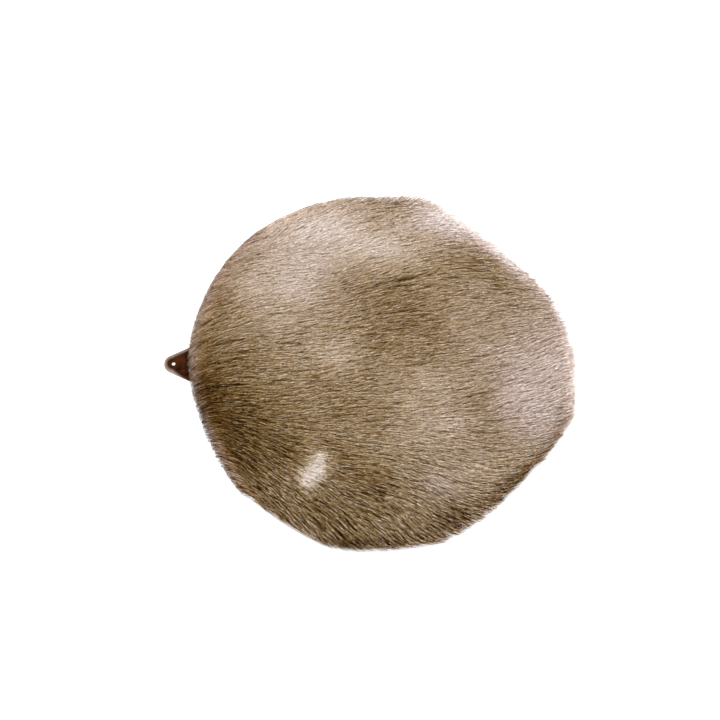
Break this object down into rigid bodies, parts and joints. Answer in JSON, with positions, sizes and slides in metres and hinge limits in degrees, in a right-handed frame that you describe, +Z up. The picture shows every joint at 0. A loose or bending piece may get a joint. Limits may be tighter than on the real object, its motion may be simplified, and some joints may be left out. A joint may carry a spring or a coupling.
{
  "type": "reindeer hide seat pad",
  "caption": "Round seat pad cut from reindeer hide, lying fur side up, with a dark leather hanging tab sewn under its edge.",
  "frame": {"origin": "middle of the outline, tab included, on the surface that the pad lies on", "axes": "+X away from the hanging tab, the way most of the hair lies; +Y across the pad; +Z up, out of the hair side"},
  "size_m": [0.4188, 0.3874, 0.0189],
  "materials": {
    "reindeer_hair": "short dense hair, grey-brown with pale patches, matt with a soft sheen along the lie",
    "tab_leather": "dark red-brown oiled leather, worn paler along the cut edge"
  },
  "bodies": {
    "root": {"hide": "reindeer_hair", "hanging_tab": "tab_leather"}
  },
  "joints": []
}
